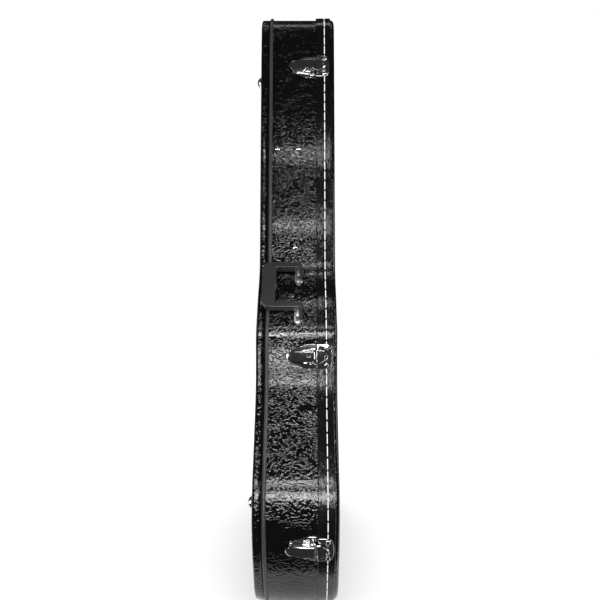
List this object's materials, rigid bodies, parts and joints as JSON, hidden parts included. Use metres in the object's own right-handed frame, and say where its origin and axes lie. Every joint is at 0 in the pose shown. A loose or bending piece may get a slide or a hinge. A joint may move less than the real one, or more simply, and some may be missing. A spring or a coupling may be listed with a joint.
{
  "type": "acoustic guitar case",
  "caption": "Hardshell acoustic guitar case with a hinged arched lid, draw latches, folding handle, piping, stitched valance, back feet and a lined interior.",
  "frame": {"origin": "on the floor under the middle of the shell, which stands on its wide end", "axes": "+Z along the case towards the head end, -Y to the handle side, +Y to the hinge side, -X to the back with its feet, +X to the lid"},
  "size_m": [0.1573, 0.4581, 1.098],
  "materials": {
    "vinyl": "gloss grained vinyl",
    "trim": "smooth gloss",
    "ply": "sanded plywood",
    "chrome": "bright plated steel",
    "grip_plastic": "satin moulded",
    "plush": "short pile plush"
  },
  "bodies": {
    "base": {"back_cover": "vinyl", "back_lining": "plush", "back_panel": "ply", "base_rim": "ply", "foot_1": "chrome", "foot_2": "chrome", "foot_3": "chrome", "foot_4": "chrome", "handle_bracket_lower": "chrome", "handle_bracket_upper": "chrome", "hinge_1_base_leaf": "chrome", "hinge_1_pin": "chrome", "hinge_2_base_leaf": "chrome", "hinge_2_pin": "chrome", "hinge_3_base_leaf": "chrome", "hinge_3_pin": "chrome", "latch_1_base": "chrome", "latch_1_pin": "chrome", "latch_2_base": "chrome", "latch_2_pin": "chrome", "latch_3_base": "chrome", "latch_3_pin": "chrome", "neck_rest": "plush", "partition_lower": "plush", "partition_upper": "plush", "piping": "trim", "rivet_1": "chrome", "rivet_2": "chrome", "rivet_3": "chrome", "rivet_4": "chrome", "rivet_5": "chrome", "rivet_6": "chrome", "side_cover": "vinyl", "side_lining": "plush"},
    "lid": {"lid_panel": "ply", "lid_rim": "ply", "lid_cover": "vinyl", "valance": "trim", "lid_lining": "plush", "hinge_1_lid_leaf": "chrome", "hinge_2_lid_leaf": "chrome", "hinge_3_lid_leaf": "chrome", "latch_1_catch": "chrome", "latch_2_catch": "chrome", "latch_3_catch": "chrome"},
    "handle": {"handle_grip": "grip_plastic", "handle_link_upper": "chrome", "handle_link_lower": "chrome"},
    "compartment_lid": {"compartment_lid": "plush", "pull_tab": "trim"},
    "latch_1_lever": {"latch_1_lever": "chrome"},
    "latch_1_hook": {"latch_1_hook": "chrome"},
    "latch_2_lever": {"latch_2_lever": "chrome"},
    "latch_2_hook": {"latch_2_hook": "chrome"},
    "latch_3_lever": {"latch_3_lever": "chrome"},
    "latch_3_hook": {"latch_3_hook": "chrome"}
  },
  "joints": [
    {"name": "lid_hinge", "type": "hinge", "parent": "base", "child": "lid", "pos_m": [0.031, 0.22323, 0.22943], "axis": [0, -0.1416, 0.9899], "range_deg": [0, 110]},
    {"name": "handle_swing", "type": "hinge", "parent": "base", "child": "handle", "pos_m": [0.0028, -0.15787, 0.56085], "axis": [0, 0.3816, 0.9243], "range_deg": [0, 160]},
    {"name": "compartment_hinge", "type": "hinge", "parent": "base", "child": "compartment_lid", "pos_m": [0.0083, 0.10097, 0.7222], "axis": [0, 0, 1], "range_deg": [0, 88]},
    {"name": "latch_1_lever", "type": "hinge", "parent": "base", "child": "latch_1_lever", "pos_m": [0.028, -0.11318, 0.97913], "axis": [0, 0.072, 0.9974], "range_deg": [0, 95]},
    {"name": "latch_1_hook", "type": "hinge", "parent": "latch_1_lever", "child": "latch_1_hook", "pos_m": [0.013, -0.11169, 0.97902], "axis": [0, 0.072, 0.9974], "range_deg": [-95, 0]},
    {"name": "latch_2_lever", "type": "hinge", "parent": "base", "child": "latch_2_lever", "pos_m": [0.028, -0.18264, 0.44041], "axis": [0, 0.0496, 0.9988], "range_deg": [0, 95]},
    {"name": "latch_2_hook", "type": "hinge", "parent": "latch_2_lever", "child": "latch_2_hook", "pos_m": [0.013, -0.18114, 0.44033], "axis": [0, 0.0496, 0.9988], "range_deg": [-95, 0]},
    {"name": "latch_3_lever", "type": "hinge", "parent": "base", "child": "latch_3_lever", "pos_m": [0.028, -0.22332, 0.14266], "axis": [0, -0.1735, 0.9848], "range_deg": [0, 95]},
    {"name": "latch_3_hook", "type": "hinge", "parent": "latch_3_lever", "child": "latch_3_hook", "pos_m": [0.013, -0.22184, 0.14292], "axis": [0, -0.1735, 0.9848], "range_deg": [-95, 0]}
  ],
  "couplings": [
    {"joint": "compartment_hinge", "follows": "lid_hinge", "ratio": 0.8},
    {"joint": "latch_1_hook", "follows": "latch_1_lever", "ratio": -1},
    {"joint": "latch_2_hook", "follows": "latch_2_lever", "ratio": -1},
    {"joint": "latch_3_hook", "follows": "latch_3_lever", "ratio": -1}
  ]
}
